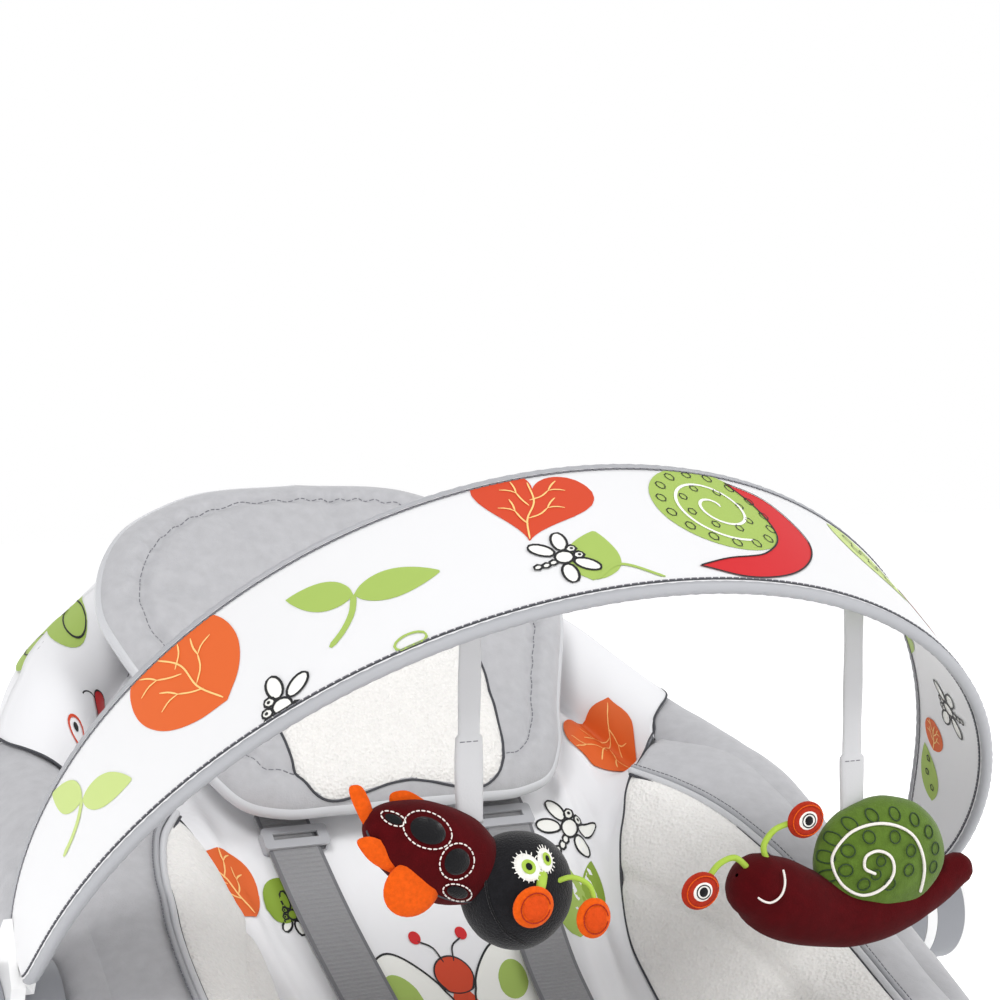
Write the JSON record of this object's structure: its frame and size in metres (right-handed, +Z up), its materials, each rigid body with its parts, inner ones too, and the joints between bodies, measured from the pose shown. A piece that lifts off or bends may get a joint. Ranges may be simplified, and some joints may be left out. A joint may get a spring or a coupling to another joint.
{
  "type": "bouncer seat",
  "caption": "Padded reclining baby bouncer seat on folding tube legs, with a harness and a tilting fabric toy arch that carries hanging soft toys.",
  "frame": {"origin": "on the floor, under the centre of the whole object's bounding box", "axes": "+X to the right side seen from the foot end, +Y towards the head end, +Z up"},
  "size_m": [0.5612, 0.692, 0.4976],
  "materials": {
    "frame_paint": "satin silver-grey powder coat",
    "hub_grey": "fine-textured moulded plastic",
    "hub_white": "semi-gloss moulded plastic",
    "button_grey": "soft satin plastic",
    "bolt_steel": "zinc-plated steel",
    "foot_rubber": "matt rubber",
    "velour_grey": "short-pile grey velour",
    "terry_white": "white terry loops",
    "print_white": "printed white cotton",
    "band_white": "smooth printed fabric with grey satin piping",
    "strip_plastic": "springy plastic strip",
    "webbing_grey": "ribbed polyester webbing",
    "clip_grey": "moulded acetal",
    "toy_red": "dark red velour",
    "toy_black": "black plush",
    "toy_orange": "orange felt",
    "toy_green": "green plush",
    "toy_strap": "pale grey satin tape"
  },
  "bodies": {
    "base": {"front_leg_tube": "frame_paint", "front_leg_hub_left": "hub_grey", "front_leg_hub_right": "hub_grey", "pivot_bolts": "bolt_steel", "pivot_nuts": "bolt_steel", "front_feet": "foot_rubber"},
    "rear_legs": {"rear_leg_tube": "frame_paint", "rear_leg_hub_left": "hub_grey", "rear_leg_hub_right": "hub_grey", "hub_cap_left": "hub_white", "hub_cap_right": "hub_white", "rear_feet": "foot_rubber"},
    "left_button": {"lock_button_left": "button_grey"},
    "right_button": {"lock_button_right": "button_grey"},
    "seat": {"seat_tube": "frame_paint", "seat_hub_left": "hub_grey", "seat_hub_right": "hub_grey", "seat_roll": "velour_grey", "seat_panel": "print_white", "seat_wing_left": "terry_white", "seat_wing_right": "terry_white", "waist_strap_left": "webbing_grey", "waist_strap_right": "webbing_grey", "crotch_strap": "webbing_grey", "buckle_tongue_left": "clip_grey", "buckle_tongue_right": "clip_grey", "buckle_back": "clip_grey", "buckle_front": "clip_grey"},
    "release_button": {"buckle_button": "button_grey"},
    "backrest": {"back_tube": "frame_paint", "back_hub_left": "hub_grey", "back_hub_right": "hub_grey", "head_roll": "print_white", "back_roll_left": "velour_grey", "back_roll_right": "velour_grey", "back_panel": "print_white", "head_panel": "print_white", "back_wing_left": "terry_white", "back_wing_right": "terry_white", "head_cushion": "velour_grey", "shoulder_strap_left": "webbing_grey", "shoulder_strap_right": "webbing_grey"},
    "left_adjuster": {"strap_adjuster_left": "clip_grey"},
    "right_adjuster": {"strap_adjuster_right": "clip_grey"},
    "toy_arch": {"arch_cover": "band_white", "arch_strip": "strip_plastic", "arch_ear_left": "hub_white", "arch_ear_right": "hub_white"},
    "ladybird": {"ladybird_strap": "toy_strap", "ladybird_body": "toy_red", "ladybird_head": "toy_black", "ladybird_petals": "toy_orange", "ladybird_feelers": "toy_orange"},
    "snail": {"snail_strap": "toy_strap", "snail_shell": "toy_green", "snail_body": "toy_red", "snail_eyes": "toy_orange"}
  },
  "joints": [
    {"name": "bounce", "type": "hinge", "parent": "base", "child": "seat", "pos_m": [0, 0.01, 0.238], "axis": [1, 0, 0], "range_deg": [-4, 4], "stiffness_Nm_per_rad": 80, "springref_deg": 0.14},
    {"name": "recline", "type": "hinge", "parent": "seat", "child": "backrest", "pos_m": [0, 0.01, 0.238], "axis": [1, 0, 0], "range_deg": [-22, 0]},
    {"name": "leg_fold", "type": "hinge", "parent": "base", "child": "rear_legs", "pos_m": [0, 0.01, 0.238], "axis": [1, 0, 0], "range_deg": [-85, 0]},
    {"name": "arch_tilt", "type": "hinge", "parent": "base", "child": "toy_arch", "pos_m": [0, 0.01, 0.238], "axis": [1, 0, 0], "range_deg": [-60, 10]},
    {"name": "ladybird_swing", "type": "hinge", "parent": "toy_arch", "child": "ladybird", "pos_m": [-0.085, -0.13462, 0.45151], "axis": [1, 0, 0], "range_deg": [-30, 30]},
    {"name": "snail_swing", "type": "hinge", "parent": "toy_arch", "child": "snail", "pos_m": [0.121, -0.12628, 0.43676], "axis": [1, 0, 0], "range_deg": [-30, 30]},
    {"name": "left_button_press", "type": "slide", "parent": "rear_legs", "child": "left_button", "axis": [1, 0, 0], "range_m": [0, 0.003], "stiffness_N_per_m": 600, "springref_m": -0.002},
    {"name": "right_button_press", "type": "slide", "parent": "rear_legs", "child": "right_button", "axis": [-1, 0, 0], "range_m": [0, 0.003], "stiffness_N_per_m": 600, "springref_m": -0.002},
    {"name": "buckle_press", "type": "slide", "parent": "seat", "child": "release_button", "axis": [0, 0, -1], "range_m": [0, 0.0015], "stiffness_N_per_m": 600, "springref_m": -0.001},
    {"name": "left_adjust", "type": "slide", "parent": "backrest", "child": "left_adjuster", "axis": [0.0743, -0.7434, -0.6647], "range_m": [0, 0.02]},
    {"name": "right_adjust", "type": "slide", "parent": "backrest", "child": "right_adjuster", "axis": [-0.0743, -0.7434, -0.6647], "range_m": [0, 0.02]}
  ]
}
